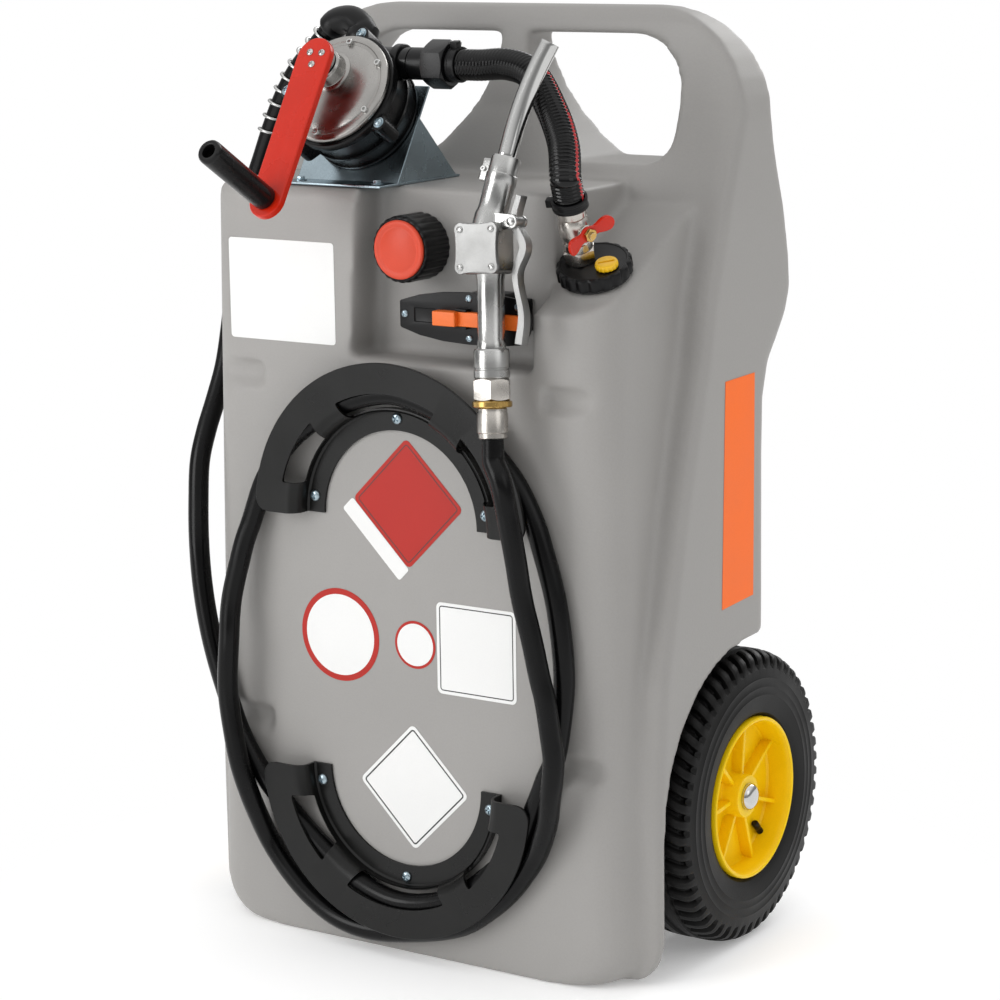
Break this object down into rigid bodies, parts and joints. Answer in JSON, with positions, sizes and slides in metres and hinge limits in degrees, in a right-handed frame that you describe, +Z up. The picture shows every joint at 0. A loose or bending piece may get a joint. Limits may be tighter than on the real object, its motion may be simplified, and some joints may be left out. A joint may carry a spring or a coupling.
{
  "type": "fuel caddy",
  "caption": "Upright moulded fuel tank on wheels with a crank pump, ribbed suction hose, ball valve, nozzle in its holster and a delivery hose wound on holders.",
  "frame": {"origin": "middle of the tank's front bottom edge, on the floor", "axes": "+Z up, -Y out of the front panel that carries the wound hose, +X to the right as seen from the front"},
  "size_m": [0.6063, 0.5783, 1.0156],
  "materials": {
    "black_plastic": "black moulded plastic",
    "black_rubber": "matt black rubber",
    "brass": "bare brass",
    "bright_steel": "bright steel",
    "cast_aluminium": "bare cast aluminium",
    "chromed_steel": "polished chrome",
    "grey_moulded_plastic": "softly grained moulded grey plastic",
    "nickel_plate": "nickel plated brass",
    "orange_plastic": "orange plastic",
    "red_paint": "red paint on steel",
    "red_plastic": "red plastic",
    "seal_rubber": "black seal rubber",
    "tyre_rubber": "matt black tyre rubber",
    "yellow_plastic": "yellow moulded plastic",
    "zinc_plate": "zinc plated sheet steel"
  },
  "bodies": {
    "caddy": {"axle": "bright_steel", "axle_cap_left": "chromed_steel", "axle_cap_right": "chromed_steel", "brass_ring": "brass", "delivery_hose": "black_rubber", "dip_tube": "black_plastic", "flange_gasket": "seal_rubber", "hex_adapter": "nickel_plate", "holder_screw_lower_left": "bright_steel", "holder_screw_lower_middle": "bright_steel", "holder_screw_lower_right": "bright_steel", "holder_screw_upper_left": "bright_steel", "holder_screw_upper_middle": "bright_steel", "holder_screw_upper_right": "bright_steel", "holster_bracket": "black_plastic", "hose_clamp_bottom": "black_plastic", "hose_clamp_top": "black_plastic", "hose_ferrule": "nickel_plate", "hose_holder_lower": "black_plastic", "hose_holder_upper": "black_plastic", "inlet_adapter": "black_plastic", "lever_pin": "bright_steel", "nozzle_body": "cast_aluminium", "nozzle_collar": "cast_aluminium", "nozzle_cover": "cast_aluminium", "nozzle_spout": "bright_steel", "outlet_elbow": "black_plastic", "pump_bracket": "zinc_plate", "pump_cover": "chromed_steel", "pump_housing": "black_plastic", "spring_guard": "bright_steel", "strainer": "bright_steel", "suction_flange": "black_plastic", "suction_hose": "black_rubber", "swivel_nut": "nickel_plate", "tank": "grey_moulded_plastic", "union_nut": "black_plastic", "valve_body": "nickel_plate"},
    "crank": {"crank_arm": "red_paint", "pump_shaft": "bright_steel", "pump_rotor": "bright_steel", "pump_vane_1": "black_plastic", "pump_vane_2": "black_plastic", "crank_pin": "bright_steel"},
    "grip": {"crank_grip": "black_plastic"},
    "wheel_left": {"tyre_left": "tyre_rubber", "rim_left": "yellow_plastic", "tyre_valve_left": "black_rubber"},
    "wheel_right": {"tyre_right": "tyre_rubber", "rim_right": "yellow_plastic", "tyre_valve_right": "black_rubber"},
    "valve_lever": {"valve_handle": "red_paint", "valve_ball": "bright_steel", "valve_nut": "nickel_plate"},
    "filler": {"fill_cap": "black_plastic", "fill_cap_disc": "red_plastic", "fill_cap_seal": "seal_rubber"},
    "vent": {"vent_cap": "yellow_plastic"},
    "trigger": {"nozzle_lever": "cast_aluminium"},
    "latch": {"holster_latch": "orange_plastic"}
  },
  "joints": [
    {"name": "crank_spin", "type": "hinge", "parent": "caddy", "child": "crank", "pos_m": [-0.1017, 0.03954, 0.94727], "axis": [0, -0.848, 0.5299], "continuous": true},
    {"name": "grip_spin", "type": "hinge", "parent": "crank", "child": "grip", "pos_m": [-0.1017, -0.04949, 0.80479], "axis": [0, -0.848, 0.5299], "continuous": true},
    {"name": "wheel_left_spin", "type": "hinge", "parent": "caddy", "child": "wheel_left", "pos_m": [-0.257, 0.234, 0.1617], "axis": [1, 0, 0], "continuous": true},
    {"name": "wheel_right_spin", "type": "hinge", "parent": "caddy", "child": "wheel_right", "pos_m": [0.257, 0.234, 0.1617], "axis": [1, 0, 0], "continuous": true},
    {"name": "valve_turn", "type": "hinge", "parent": "caddy", "child": "valve_lever", "pos_m": [0.19942, 0.03327, 0.80124], "axis": [0.9235, -0.31, -0.2259], "range_deg": [0, 90]},
    {"name": "fill_cap_turn", "type": "hinge", "parent": "caddy", "child": "filler", "pos_m": [0.004, 0.0447, 0.7715], "axis": [0, -1, 0], "range_deg": [0, 360]},
    {"name": "vent_cap_turn", "type": "hinge", "parent": "caddy", "child": "vent", "pos_m": [0.2297, 0.05116, 0.74583], "axis": [0.079, -0.4226, 0.9029], "range_deg": [0, 90]},
    {"name": "trigger_squeeze", "type": "hinge", "parent": "caddy", "child": "trigger", "pos_m": [0.16572, -0.02345, 0.81132], "axis": [0.009, 0.9932, -0.1163], "range_deg": [0, 7], "stiffness_Nm_per_rad": 0.5},
    {"name": "latch_slide", "type": "slide", "parent": "caddy", "child": "latch", "axis": [-1, 0, 0], "range_m": [0, 0.03]}
  ]
}
